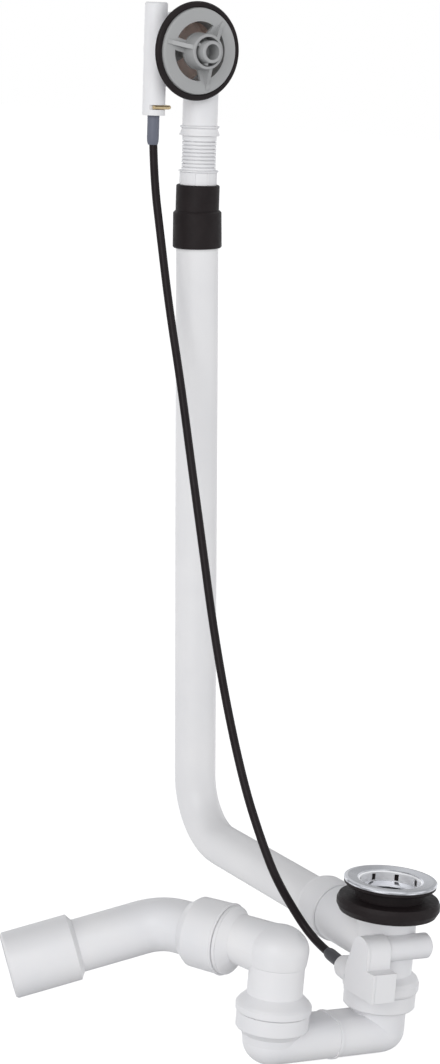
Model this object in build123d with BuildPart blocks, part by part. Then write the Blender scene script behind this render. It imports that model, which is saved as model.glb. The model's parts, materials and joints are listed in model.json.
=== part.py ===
"""Bath waste and overflow set with a cable-worked lift, a telescopic overflow pipe and a low trap."""
import os
from math import acos, cos, pi, radians, sin, tan

from build123d import *

os.makedirs("parts", exist_ok=True)

# Clearances
run_gap = 0.06
slide_gap = 0.3
seat_gap = 0.15

# Waste seat and its seal
flange_r = 35.0
flange_t = 2.4
seat_r = 22.7
seat_depth = 9.0
seat_hole_r = 17.0
skirt_wall = 1.5
shank_r = 20.4
shank_end = 33.0
slot_count = 8
slot_w = 3.2
seal_lip_r = 34.4
seal_neck_r = 25.8
seal_r = 38.6
floor_gap = 8.5
seal_top = 3.0
seal_lip_t = 2.6
seal_bottom = 25.5

# Waste body
body_r = 22.2
body_wall = 2.8
rim_r = 29.0
rim_t = 4.0
shoulder_r = 28.5
shoulder_top = 73.0
shoulder_bottom = 85.0

# Union of the trap at the waste
thread_r = 24.2
union_r = 26.9
union_h = 13.2
washer_t = 2.2
collar_r = 20.8
collar_flange_r = 23.8
collar_flange_t = 2.4
thread_drop = 6.5

# Overflow leg and pipe
leg_z = -47.6
leg_length = 297.4
pipe_r = 17.0
pipe_wall = 1.9
pipe_bend_r = 48.0
pipe_lean = 5.05
socket_r = 21.8
socket_end = 78.0
nut_r = 23.0
nut_start = 65.8
nut_end = 96.0

# Overflow head
sleeve_level = 519.5
head_lean = 3.3
head_turn = 4.3
spigot_r = 14.6
neck_upper_r = 14.0
spigot_wall = 2.2
spigot_into_pipe = 18.0
spigot_rib_count = 8
spigot_rib_w = 1.6
spigot_rib_h = 0.5
pipe_top = -6.0
sleeve_low = -32.0
sleeve_high = 18.0
sleeve_low_r = 19.7
sleeve_high_r = 17.4
ring_r = 16.0
groove_count = 8
groove_pitch = 2.9
groove_start = 31.6
groove_w = 0.9
groove_depth = 1.1
cuff_r = 13.7
disc_side = -16.4
disc_level = 123.3
disc_depth = 22.4
cup_r = 30.0
cup_wall = 2.4
cup_front = -15.0
cup_back = 16.0
skirt_r = 25.0

# Overflow flange and hub
face_r = 33.8
face_t = 2.8
window_r = 23.0
hub_r = 13.7
hub_bore_r = 11.4
hub_front = 12.3
rib_w = 3.4
rib_reach = 31.0
rib_turn = 46.0

# Cable drive in the overflow head
module = 1.5
tooth_count = 27
pressure = 20.0
backlash = 0.2
quadrant_half = 3
quadrant_t = 5.0
rack_pitch_offset = 4.05
rack_r = 6.3
rack_up = 24.0
rack_down = 26.0
drive_boss_r = 8.7
drive_front = 18.2
drive_hole_r = 6.1
drive_hole_depth = 14.0
drive_shaft_r = 6.0
journal_r = 4.0
barrel_r = 9.0
barrel_depth = 4.6
barrel_low = 72.4
barrel_high = 160.0
clip_level = 78.8
clip_wire_r = 1.65
clip_reach = 11.0
clip_tail = 4.6
clip_slot = 17.0

# Cable
sheath_r = 3.3
sheath_bore_r = 1.25
wire_r = 0.85
ferrule_r = 4.75
ferrule_drop = 23.0
cable_seat = 11.0
turn_step = 17.6

# Lift gear under the waste
tube_y = -22.5
tube_z = -46.5
tube_r = 9.5
case_r = 11.2
tube_end = 22.8
case_left = -33.5
case_right = -16.0
cover_t = 2.5
case_front = -43.6
case_rear = -5.0
case_low = -80.0
case_step = -58.0
case_wall = 1.8
shaft_r = 4.0
tube_bore_r = 7.0
lever_x = -26.5
lever_arm = 26.0
lever_t = 5.0
lever_pin_r = 1.6
gland_tilt = 6.0
gland_r = 9.0
gland_end = 35.0
gland_cup = 15.0
rod_r = 3.0
rod_end = 20.0
wire_hole = 5.4
lever_room = 1.6
finger_t = 6.0
pin_r = 3.0
lift_gap = 0.4

# Trap
trap_reach = 91.9
bowl_z = -118.2
bowl_w = 41.6
bowl_h = 32.2
bowl_corner = 13.4
bowl_belly = 18.0
bowl_wall = 2.4
bowl_end_r = 22.4
riser_cup_r = 26.9
riser_cup_low = -106.5
riser_plug_drop = 8.0
riser_r = 20.6
riser_wall = 2.3
riser_ring_r = 28.0
riser_union = -93.4
out_z = -50.0
out_turn = 119.5
elbow_foot = -58.0
elbow_r = 22.5
arm_r = 18.3
arm_rise = 3.0
bell_start = 33.0
bell_end = 40.0
bell_r = 25.6
out_nut_r = 26.7
out_nut_start = 42.5
out_nut_length = 28.0

# Outlet elbow
outlet_r = 20.0
outlet_wall = 2.2
outlet_corner = 101.0
outlet_bend = 45.0
outlet_roll = 26.0
outlet_bend_r = 38.0
outlet_step = 68.5
outlet_end = 119.0
outlet_spigot_r = 25.0


def turned(frame, *outline):
    """Solid of revolution about the frame's z, from (radius, height) points."""
    with BuildPart() as made:
        with BuildSketch(Plane(frame.origin, x_dir=frame.x_dir, z_dir=-frame.y_dir)):
            with BuildLine():
                Polyline(*outline, close=True)
            make_face()
        revolve(axis=Axis(frame.origin, frame.z_dir))
    return made.part


def tube_ring(frame, inner, outer, low, high):
    """Plain ring about the frame's z."""
    return turned(frame, (inner, low), (outer, low), (outer, high), (inner, high))


# Frames
waste = Plane.XY
leg = Plane((0, 0, leg_z), x_dir=(1, 0, 0), z_dir=(0, 1, 0))
lean = radians(pipe_lean)
pipe = Plane((0, leg_length, leg_z), x_dir=(cos(lean), 0, sin(lean)), z_dir=(-sin(lean), 0, cos(lean)))
tip = radians(head_lean)
face_turn = radians(head_turn)
head = Plane(
    pipe.from_local_coords(Vector(0, 0, sleeve_level)),
    x_dir=(cos(tip) * cos(face_turn), sin(face_turn), sin(tip) * cos(face_turn)),
    z_dir=(-sin(tip), 0, cos(tip)),
)
disc = Plane(
    head.from_local_coords(Vector(disc_side, -disc_depth, disc_level)),
    x_dir=head.x_dir,
    z_dir=-head.y_dir,
)
gear_r = module * tooth_count / 2
gear_centre = gear_r + rack_pitch_offset
gear_z = -disc_depth - barrel_depth
barrel = Plane(
    head.from_local_coords(Vector(disc_side - gear_centre, barrel_depth, 0)),
    x_dir=head.x_dir,
    z_dir=head.z_dir,
)
tube = Plane((0, tube_y, tube_z), x_dir=(0, 1, 0), z_dir=(1, 0, 0))
tilt = radians(gland_tilt)
rod = Plane(
    (lever_x, tube_y + lever_arm * sin(tilt), tube_z - lever_arm * cos(tilt)),
    x_dir=(1, 0, 0),
    z_dir=(0, cos(tilt), sin(tilt)),
)
riser = Plane((-trap_reach, 0, 0), x_dir=(1, 0, 0), z_dir=(0, 0, 1))
turn = radians(out_turn)
out_dir = Vector(cos(turn), sin(turn), 0)
out_side = Vector(-sin(turn), cos(turn), 0)
out = Plane((-trap_reach, 0, out_z), x_dir=out_side, z_dir=out_dir)
roll = radians(outlet_roll)
bend = radians(outlet_bend)
bend_dir = out_side * cos(roll) - Vector(0, 0, 1) * sin(roll)
spigot_dir = out_dir * cos(bend) + bend_dir * sin(bend)
spigot_side = bend_dir * cos(bend) - out_dir * sin(bend)
outlet_tip = out.origin + out_dir * outlet_corner
spout = Plane(outlet_tip, x_dir=spigot_side, z_dir=spigot_dir)

# Waste seat: chrome flange, slotted cup and threaded shank with a spider for the lift pin
cup_outer = seat_r + skirt_wall
seat_body = turned(
    waste,
    (seat_hole_r, -seat_depth - 2.6),
    (seat_r, -seat_depth),
    (seat_r, -2.2),
    (seat_r + 2.0, -0.9),
    (flange_r - 3.0, 0),
    (flange_r - 0.7, -0.3),
    (flange_r, -1.1),
    (flange_r - 0.4, -flange_t),
    (cup_outer, -flange_t),
    (cup_outer, -seat_depth - 3.0),
    (shank_r, -seat_depth - 6.0),
    (shank_r, -shank_end),
    (seat_hole_r, -shank_end),
)
guide_low = -shank_end + 1.0
guide_high = -shank_end + 9.0
with BuildPart() as valve_seat:
    add(seat_body)
    with BuildSketch(Plane.XY.offset(-seat_depth + 0.6)):
        with PolarLocations(seat_r, slot_count):
            Rectangle(2 * skirt_wall + 1.0, slot_w)
    extrude(amount=seat_depth - 4.0, mode=Mode.SUBTRACT)
    with BuildSketch(Plane.XY.offset(guide_low)):
        with PolarLocations(seat_hole_r / 2 + 2.0, 3):
            Rectangle(seat_hole_r - 2.0, 2.4)
        Circle(pin_r + 2.2)
        Circle(pin_r + run_gap, mode=Mode.SUBTRACT)
    extrude(amount=guide_high - guide_low)
valve_seat.part.label = "valve_seat"

# Waste seal: grooved rubber that grips the bath floor, with a pocket for the body rim
rim_top = -seal_bottom + 2.0 + rim_t
seal_in = cup_outer + seat_gap
seal_step = -seal_top - seal_lip_t
waste_seal_body = turned(
    waste,
    (seal_in, -flange_t - seat_gap),
    (seal_lip_r, -flange_t - seat_gap),
    (seal_lip_r, seal_step + 1.2),
    (seal_lip_r - 1.2, seal_step),
    (seal_neck_r, seal_step - 0.4),
    (seal_neck_r, seal_step - floor_gap),
    (seal_r - 1.4, seal_step - floor_gap - 0.4),
    (seal_r, seal_step - floor_gap - 3.4),
    (seal_r, seal_step - floor_gap - 7.0),
    (seal_r - 2.4, -seal_bottom),
    (body_r + 1.2, -seal_bottom),
    (body_r + 1.2, -seal_bottom + 2.0 - seat_gap),
    (rim_r + seat_gap, -seal_bottom + 2.0 - seat_gap),
    (rim_r + seat_gap, rim_top + seat_gap),
    (seal_in, rim_top + seat_gap),
)
with BuildPart() as waste_seal:
    add(waste_seal_body)
waste_seal.part.label = "waste_seal"

# Waste body: upright waterway, overflow socket, lift case and shaft tube in one moulding
thread_end = shoulder_bottom + thread_drop
bore_r = body_r - body_wall
upright = turned(
    waste,
    (0, -thread_end),
    (thread_r, -thread_end),
    (thread_r, -shoulder_bottom + 0.2),
    (shoulder_r - 1.0, -shoulder_bottom),
    (shoulder_r, -shoulder_bottom + 2.0),
    (shoulder_r, -shoulder_top - 5.0),
    (shoulder_r - 1.6, -shoulder_top - 1.8),
    (body_r, -shoulder_top + 2.0),
    (body_r, rim_top - rim_t),
    (rim_r, rim_top - rim_t),
    (rim_r, rim_top),
    (0, rim_top),
)
socket = turned(
    leg,
    (0, 0),
    (socket_r, 0),
    (socket_r, nut_start - 0.6),
    (socket_r - 2.2, nut_start - 0.4),
    (socket_r - 2.2, socket_end),
    (0, socket_end),
)
shaft_tube = turned(
    tube,
    (0, case_left),
    (case_r, case_left),
    (case_r, case_right),
    (tube_r, case_right + 1.2),
    (tube_r, tube_end - 1.6),
    (tube_r - 1.6, tube_end),
    (0, tube_end),
)
gland_start = (case_rear - rod.origin.Y + gland_r * sin(tilt) + 0.3) / cos(tilt)
gland_root_r = lever_x - case_left
gland = turned(
    rod,
    (0, 0),
    (gland_root_r, 0),
    (gland_root_r, gland_start),
    (gland_r, gland_start),
    (gland_r, gland_end - 5.0),
    (gland_r - 1.6, gland_end - 1.4),
    (gland_r - 3.6, gland_end),
    (0, gland_end),
)
lift_room = turned(tube, (0, case_left - 1), (tube_bore_r, case_left - 1), (tube_bore_r, 15.0), (0, 15.0))
bearing_end = tube_end - 1.4
shaft_bearing = turned(
    tube,
    (0, 14.0),
    (shaft_r + run_gap, 14.0),
    (shaft_r + run_gap, bearing_end),
    (0, bearing_end),
)
gland_bore = turned(
    rod,
    (0, 0),
    (rod_r + run_gap, 0),
    (rod_r + run_gap, gland_end - gland_cup),
    (rod_r + 1.5, gland_end - gland_cup),
    (rod_r + 1.5, gland_end + 1.0),
    (0, gland_end + 1.0),
)
case_width = case_right - case_left
with BuildPart() as waste_body:
    add(upright)
    add(socket)
    add(shaft_tube)
    with BuildSketch(Plane.YZ.offset(case_left)):
        with BuildLine():
            Polyline(
                (tube_y - case_r, tube_z),
                (tube_y + case_r, tube_z),
                (case_rear, tube_z - 16.0),
                (case_rear, case_low),
                (case_front, case_low),
                (case_front, case_step),
                (tube_y - case_r, case_step),
                close=True,
            )
        make_face()
    extrude(amount=case_width)
    add(gland)
    # collar under the seal, cut flat on one side
    with BuildSketch(Plane.XY.offset(-seal_bottom - 4.0)):
        Circle(body_r + 2.6)
        with Locations((body_r + 8.0, 0)):
            Rectangle(16.0, 3 * body_r, mode=Mode.SUBTRACT)
    extrude(amount=4.0 - seat_gap)
    # waterway, overflow way and seat thread
    with BuildSketch(Plane.XY.offset(-thread_end)):
        Circle(bore_r)
    extrude(amount=thread_end, mode=Mode.SUBTRACT)
    with BuildSketch(Plane.XY.offset(-shank_end - 2.0)):
        Circle(shank_r + seat_gap)
    extrude(amount=shank_end, mode=Mode.SUBTRACT)
    with BuildSketch(leg):
        Circle(pipe_r - pipe_wall)
    extrude(amount=socket_end, mode=Mode.SUBTRACT)
    with BuildSketch(leg.offset(socket_end - 34.0)):
        Circle(pipe_r + slide_gap)
    extrude(amount=40.0, mode=Mode.SUBTRACT)
    # room for the shaft, the lever and the pull rod
    add(lift_room, mode=Mode.SUBTRACT)
    add(shaft_bearing, mode=Mode.SUBTRACT)
    with BuildSketch(Plane.YZ.offset(case_left)):
        with BuildLine():
            Polyline(
                (tube_y - tube_bore_r, tube_z),
                (tube_y + tube_bore_r, tube_z),
                (case_rear - case_wall, tube_z - 16.0),
                (case_rear - case_wall, case_low + case_wall),
                (case_front + case_wall, case_low + case_wall),
                (case_front + case_wall, case_step - case_wall),
                (tube_y - tube_bore_r, case_step - case_wall),
                close=True,
            )
        make_face()
    extrude(amount=case_width - case_wall, mode=Mode.SUBTRACT)
    add(gland_bore, mode=Mode.SUBTRACT)
    # slot that lets the lift finger into the waterway
    with BuildSketch(Plane.XY.offset(tube_z - tube_bore_r)):
        with Locations((0, tube_y / 2 - 4.0)):
            Rectangle(finger_t + 3.0, -tube_y - 6.0)
    extrude(amount=2 * tube_bore_r, mode=Mode.SUBTRACT)
waste_body.part.label = "waste_body"

# Cover of the lift case, with the end bearing of the shaft
cover_left = case_left - cover_t
with BuildPart() as lift_cover:
    with BuildSketch(Plane.YZ.offset(cover_left)):
        with BuildLine():
            cover_arc = CenterArc((tube_y, tube_z), case_r, 0, 180)
            Polyline(
                cover_arc @ 1,
                (tube_y - case_r, case_step),
                (case_front, case_step),
                (case_front, case_low),
                (case_rear, case_low),
                (case_rear, tube_z - 16.0),
                cover_arc @ 0,
            )
        make_face()
    extrude(amount=cover_t - 0.1)
    with BuildSketch(Plane.YZ.offset(cover_left + cover_t - 0.1)):
        with Locations((tube_y, tube_z)):
            Circle(tube_bore_r - slide_gap)
    extrude(amount=3.0)
    with BuildSketch(Plane.YZ.offset(cover_left + 1.2)):
        with Locations((tube_y, tube_z)):
            Circle(shaft_r + run_gap)
    extrude(amount=10.0, mode=Mode.SUBTRACT)
lift_cover.part.label = "lift_cover"

# Lift shaft with its lever, the pin of the lever running in the pull rod
shaft_low = cover_left + 1.6
with BuildPart() as lift_shaft:
    with BuildSketch(Plane.YZ.offset(shaft_low)):
        with Locations((tube_y, tube_z)):
            Circle(shaft_r)
    extrude(amount=bearing_end - 0.5 - shaft_low)
    with BuildSketch(Plane.YZ.offset(lever_x - lever_t / 2)):
        with Locations((tube_y, tube_z)):
            Circle(shaft_r + 2.0)
    extrude(amount=lever_t)
    with BuildSketch(Plane((lever_x - lever_t / 2, tube_y, tube_z), x_dir=rod.y_dir, z_dir=(1, 0, 0))):
        with Locations((lever_arm / 2, 0)):
            SlotCenterToCenter(lever_arm, 2 * lever_pin_r + 3.0)
    extrude(amount=lever_t / 2 - 0.6)
    with BuildSketch(Plane((lever_x - lever_t / 2, tube_y, tube_z), x_dir=rod.y_dir, z_dir=(1, 0, 0))):
        with Locations((lever_arm, 0)):
            Circle(lever_pin_r)
    extrude(amount=lever_t + 1.0)
lift_shaft.part.label = "lift_shaft"

# Pull rod: a round rod in the gland, halved beside the lever, with a slotted block for its pin
block_h = 2 * (lever_pin_r + 2.4)
rod_start = lever_pin_r + 1.9
block_plane = Plane(rod.origin, x_dir=rod.z_dir, z_dir=rod.x_dir)
with BuildPart() as pull_rod:
    with BuildSketch(rod.offset(rod_start)):
        Circle(rod_r)
        with Locations((-rod_r, 0)):
            Rectangle(2 * rod_r, 2 * rod_r, mode=Mode.SUBTRACT)
    extrude(amount=lever_room)
    with BuildSketch(rod.offset(rod_start + lever_room)):
        Circle(rod_r)
    extrude(amount=rod_end - rod_start - lever_room)
    with BuildSketch(block_plane):
        with Locations((0.3, 0)):
            Rectangle(8.0, block_h)
    extrude(amount=3.2)
    with BuildSketch(block_plane):
        SlotCenterToCenter(3.0, 2 * (lever_pin_r + slide_gap), rotation=90)
    extrude(amount=5.0, mode=Mode.SUBTRACT)
    with BuildSketch(rod.offset(wire_hole)):
        Circle(wire_r + 0.5)
    extrude(amount=rod_end, mode=Mode.SUBTRACT)
pull_rod.part.label = "pull_rod"

# Lift finger on the shaft and the lift pin above it
finger_reach = -tube_y
with BuildPart() as lift_finger:
    with BuildSketch(Plane.YZ.offset(-finger_t / 2)):
        with Locations((tube_y, tube_z)):
            Circle(shaft_r + 2.2)
        with Locations((tube_y / 2, tube_z)):
            SlotCenterToCenter(finger_reach, finger_t)
        with Locations((tube_y, tube_z)):
            Circle(shaft_r + 0.03, mode=Mode.SUBTRACT)
    extrude(amount=finger_t)
lift_finger.part.label = "lift_finger"

pin_low = tube_z + finger_t / 2 + lift_gap
pin_high = -seat_depth - 2.0
with BuildPart() as lift_pin:
    with BuildSketch(Plane.XY.offset(pin_low + pin_r)):
        Circle(pin_r)
    extrude(amount=pin_high - pin_low - pin_r)
    with Locations((0, 0, pin_low + pin_r)):
        Sphere(pin_r)
    chamfer(lift_pin.edges().group_by(Axis.Z)[-1], 0.8)
lift_pin.part.label = "lift_pin"

# Overflow pipe: leg, swept bend and upright
pipe_end = pipe.from_local_coords(Vector(0, 0, sleeve_level + pipe_top))
leg_start = socket_end - 33.0
with BuildPart() as overflow_pipe:
    with BuildLine():
        FilletPolyline(
            (0, leg_start, leg_z),
            (0, leg_length, leg_z),
            pipe_end,
            radius=pipe_bend_r,
        )
    with BuildSketch(leg.offset(leg_start)):
        Circle(pipe_r)
        Circle(pipe_r - pipe_wall, mode=Mode.SUBTRACT)
    sweep()
overflow_pipe.part.label = "overflow_pipe"

# Nut and cone seal that hold the leg in the socket
nut_body = turned(
    leg,
    (socket_r - 2.2 + seat_gap, nut_start),
    (nut_r - 0.8, nut_start),
    (nut_r, nut_start + 0.8),
    (nut_r, nut_end - 8.0),
    (nut_r - 1.0, nut_end - 4.6),
    (nut_r - 2.8, nut_end - 1.8),
    (pipe_r + 1.6, nut_end),
    (pipe_r + slide_gap, nut_end),
    (pipe_r + slide_gap, nut_end - 5.0),
    (pipe_r + 2.4, socket_end + 8.0),
    (socket_r - 2.2 + seat_gap, socket_end + 6.0),
)
with BuildPart() as pipe_nut:
    add(nut_body)
pipe_nut.part.label = "pipe_nut"

cone_seal = turned(
    leg,
    (pipe_r + 0.1, socket_end + 0.2),
    (socket_r - 2.6, socket_end + 0.2),
    (socket_r - 2.6, socket_end + 5.0),
    (pipe_r + 2.2, socket_end + 7.4),
    (pipe_r + 0.1, socket_end + 10.0),
)
with BuildPart() as pipe_seal:
    add(cone_seal)
pipe_seal.part.label = "pipe_seal"

# Rubber sleeve that joins the spigot to the pipe
sleeve_foot = sleeve_level + sleeve_low
sleeve_lower = turned(
    pipe,
    (pipe_r + 0.1, sleeve_foot),
    (sleeve_low_r - 0.8, sleeve_foot),
    (sleeve_low_r, sleeve_foot + 1.0),
    (sleeve_low_r - 0.3, sleeve_level - 4.0),
    (sleeve_low_r - 1.6, sleeve_level - 2.6),
    (spigot_r + 0.8, sleeve_level - 2.6),
    (spigot_r + 0.8, sleeve_level + pipe_top + 0.2),
    (pipe_r + 0.1, sleeve_level + pipe_top + 0.2),
)
sleeve_upper = turned(
    head,
    (spigot_r + 0.15, -4.6),
    (sleeve_high_r, -4.6),
    (sleeve_high_r, sleeve_high - 0.8),
    (sleeve_high_r - 0.8, sleeve_high),
    (spigot_r + 0.15, sleeve_high),
)
with BuildPart() as pipe_sleeve:
    add(sleeve_lower)
    add(sleeve_upper)
    with BuildSketch(head.offset(-12.0)):
        Circle(spigot_r + 0.15)
    extrude(amount=20.0, mode=Mode.SUBTRACT)
pipe_sleeve.part.label = "pipe_sleeve"

# Overflow body: spigot with rings and grooves, cup, and the barrel of the rack
spigot_low = pipe_top - spigot_into_pipe + 3.0
groove_outline = []
for step in range(groove_count):
    groove_base = groove_start + step * groove_pitch
    groove_outline.append((cuff_r, groove_base))
    groove_outline.append((cuff_r - groove_depth, groove_base + 0.15))
    groove_outline.append((cuff_r - groove_depth, groove_base + groove_w - 0.15))
    groove_outline.append((cuff_r, groove_base + groove_w))
groove_end = groove_start + groove_count * groove_pitch
spigot = turned(
    head,
    (0, spigot_low),
    (spigot_r - 1.2, spigot_low),
    (spigot_r - 0.5, spigot_low + 2.0),
    (spigot_r - 0.5, pipe_top + 1.0),
    (spigot_r, pipe_top + 2.0),
    (spigot_r, groove_start - 3.6),
    (ring_r, groove_start - 3.2),
    (ring_r, groove_start - 2.2),
    (cuff_r, groove_start - 1.6),
    *groove_outline,
    (cuff_r, groove_end + 1.8),
    (ring_r, groove_end + 2.2),
    (ring_r, groove_end + 3.4),
    (neck_upper_r + 0.3, groove_end + 7.6),
    (ring_r - 0.2, groove_end + 8.6),
    (ring_r - 0.2, groove_end + 9.6),
    (neck_upper_r, groove_end + 10.2),
    (neck_upper_r, disc_level),
    (0, disc_level),
)
cup_mouth = -disc_depth - cup_front
cup_floor = -disc_depth - cup_back
cup = turned(
    disc,
    (0, cup_floor),
    (cup_r - 3.0, cup_floor),
    (cup_r, cup_floor + 3.0),
    (cup_r, cup_mouth),
    (0, cup_mouth),
)
cup_room = turned(
    disc,
    (0, cup_floor + cup_wall),
    (cup_r - cup_wall - 2.0, cup_floor + cup_wall),
    (cup_r - cup_wall, cup_floor + cup_wall + 2.0),
    (cup_r - cup_wall, cup_mouth - 6.0),
    (skirt_r + seat_gap, cup_mouth - 5.0),
    (skirt_r + seat_gap, cup_mouth + 1.0),
    (0, cup_mouth + 1.0),
)
barrel_tube = turned(
    barrel,
    (0, barrel_low),
    (barrel_r, barrel_low),
    (barrel_r, barrel_high - 1.2),
    (barrel_r - 1.2, barrel_high),
    (0, barrel_high),
)
with BuildPart() as overflow_body:
    add(spigot)
    add(cup)
    add(barrel_tube)
    add(cup_room, mode=Mode.SUBTRACT)
    # ribs on the bare part of the spigot
    with BuildSketch(head.offset(sleeve_high + 0.4)):
        with PolarLocations(spigot_r - 0.5, spigot_rib_count):
            Rectangle(2 * spigot_rib_h + 1.0, spigot_rib_w)
    extrude(amount=groove_start - 3.4 - sleeve_high - 0.4)
    # journal boss on the cup floor
    with BuildSketch(disc.offset(cup_floor + cup_wall - 0.2)):
        Circle(journal_r + 2.4)
    extrude(amount=2.0)
    with BuildSketch(disc.offset(cup_floor + 0.8)):
        Circle(journal_r + run_gap)
    extrude(amount=12.0, mode=Mode.SUBTRACT)
    # waterway down the spigot
    with BuildSketch(head.offset(spigot_low)):
        Circle(spigot_r - spigot_wall)
    extrude(amount=disc_level - spigot_low, mode=Mode.SUBTRACT)
    # bore for the rack and slots for the clip
    with BuildSketch(barrel.offset(barrel_low)):
        Circle(rack_r + slide_gap)
    extrude(amount=barrel_high - barrel_low - 2.0, mode=Mode.SUBTRACT)
    with BuildSketch(barrel.offset(clip_level - clip_wire_r - 0.15)):
        with Locations((0.5, -barrel_r + 1.4), (0.5, barrel_r - 1.4)):
            Rectangle(clip_slot, 2 * clip_wire_r + 1.3)
    extrude(amount=2 * clip_wire_r + 0.3, mode=Mode.SUBTRACT)
overflow_body.part.label = "overflow_body"

# Overflow seal
seal_back = cup_mouth + 0.1
seal_lip_z = -1.4
overflow_seal_body = turned(
    disc,
    (skirt_r + 0.3, seal_back),
    (cup_r + 4.0, seal_back),
    (face_r + 4.0, seal_back + 1.6),
    (face_r + 4.6, seal_back + 2.6),
    (face_r + 4.2, seal_back + 3.6),
    (face_r + 4.6, -3.4),
    (face_r + 4.0, -2.2),
    (face_r + 3.2, seal_lip_z),
    (face_r + 0.4, seal_lip_z),
    (face_r + 0.4, -face_t - 0.1),
    (skirt_r + 0.3, -face_t - 0.1),
)
with BuildPart() as overflow_seal:
    add(overflow_seal_body)
overflow_seal.part.label = "overflow_seal"

# Overflow flange: grey face, three windows, three ribs and an open hub
face_body = turned(
    disc,
    (hub_bore_r, -face_t),
    (face_r - 0.3, -face_t),
    (face_r, -face_t + 0.5),
    (face_r - 0.6, -0.4),
    (face_r - 2.4, 0),
    (hub_r + 0.6, 0),
    (hub_r, hub_front - 0.6),
    (hub_r - 0.6, hub_front),
    (hub_bore_r, hub_front),
)
skirt = tube_ring(disc, window_r + 0.2, skirt_r, cup_mouth - 8.0, -face_t + 0.2)
web = tube_ring(disc, drive_boss_r + run_gap, hub_bore_r + 0.3, -face_t, 0.4)
with BuildPart() as overflow_flange:
    add(face_body)
    add(skirt)
    add(web)
    with BuildSketch(disc.offset(-face_t)):
        Circle(window_r)
        Circle(hub_r + 0.8, mode=Mode.SUBTRACT)
        with PolarLocations((window_r + hub_r) / 2, 3, start_angle=rib_turn):
            Rectangle(2 * window_r, 2 * rib_w + 3.0, mode=Mode.SUBTRACT)
    extrude(amount=face_t + 1.0, mode=Mode.SUBTRACT)
    for place in range(3):
        rib_angle = rib_turn + 120.0 * place
        rib_x = disc.x_dir * cos(radians(rib_angle)) + disc.y_dir * sin(radians(rib_angle))
        rib_y = disc.y_dir * cos(radians(rib_angle)) - disc.x_dir * sin(radians(rib_angle))
        with BuildSketch(Plane(disc.origin - rib_y * rib_w / 2, x_dir=rib_x, z_dir=-rib_y)):
            with BuildLine():
                Polyline(
                    (hub_bore_r + 1.0, -1.0),
                    (rib_reach, -1.0),
                    (rib_reach, 0.4),
                    (rib_reach - 4.0, 1.0),
                    (hub_r, hub_front - 1.6),
                    (hub_bore_r + 1.0, hub_front - 1.6),
                    close=True,
                )
            make_face()
        extrude(amount=-rib_w)
overflow_flange.part.label = "overflow_flange"

# Drive: socket boss, shaft and toothed quadrant
base_r = gear_r * cos(radians(pressure))
tip_r = gear_r + 0.9 * module
root_r = gear_r - 1.25 * module
pitch_angle = 360.0 / tooth_count
tooth_half = (pi * module / 2 - backlash) / (2 * gear_r)


def involute(angle):
    """Involute function of an angle in radians."""
    return tan(angle) - angle


def flank_point(radius, centre, side):
    """Point on a tooth flank at a radius, the tooth centred on an angle in degrees."""
    spread = tooth_half + involute(radians(pressure)) - involute(acos(min(1.0, base_r / radius)))
    angle = radians(centre) + side * spread
    return (radius * cos(angle), radius * sin(angle))


flank_radii = [base_r + 0.05, gear_r - 0.5 * module, gear_r, gear_r + 0.5 * module, tip_r]
quadrant_outline = []
for tooth in range(-quadrant_half, quadrant_half + 1):
    tooth_angle = 180.0 + tooth * pitch_angle
    low_angle = radians(tooth_angle) - 0.55 * radians(pitch_angle) / 2
    high_angle = radians(tooth_angle) + 0.55 * radians(pitch_angle) / 2
    quadrant_outline.append((root_r * cos(low_angle), root_r * sin(low_angle)))
    for radius in flank_radii:
        quadrant_outline.append(flank_point(radius, tooth_angle, -1))
    for radius in reversed(flank_radii):
        quadrant_outline.append(flank_point(radius, tooth_angle, 1))
    quadrant_outline.append((root_r * cos(high_angle), root_r * sin(high_angle)))
quadrant_outline.append((-2.0, -7.0))
quadrant_outline.append((5.0, -3.0))
quadrant_outline.append((5.0, 3.0))
quadrant_outline.append((-2.0, 7.0))

drive_spindle = turned(
    disc,
    (0, cup_floor + 1.2),
    (journal_r, cup_floor + 1.2),
    (journal_r, cup_floor + cup_wall + 2.1),
    (drive_shaft_r, cup_floor + cup_wall + 2.1),
    (drive_shaft_r, -9.0),
    (drive_boss_r, -6.0),
    (drive_boss_r, drive_front - 0.6),
    (drive_boss_r - 0.6, drive_front),
    (drive_hole_r, drive_front),
    (drive_hole_r, drive_front - drive_hole_depth),
    (0, drive_front - drive_hole_depth),
)
with BuildPart() as drive_quadrant:
    add(drive_spindle)
    with BuildSketch(disc.offset(gear_z - quadrant_t / 2)):
        with BuildLine():
            Polyline(*quadrant_outline, close=True)
        make_face()
    extrude(amount=quadrant_t)
    # lugs that stop the turn inside the hub
    with BuildSketch(disc.offset(1.2)):
        with PolarLocations(drive_boss_r + 0.4, 3, start_angle=rib_turn + 100.0):
            Rectangle(3.0, 2.6)
    extrude(amount=hub_front - 2.0)
    with BuildSketch(disc.offset(drive_front - drive_hole_depth)):
        Circle(drive_hole_r)
    extrude(amount=drive_hole_depth, mode=Mode.SUBTRACT)
drive_quadrant.part.label = "drive_quadrant"

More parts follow.
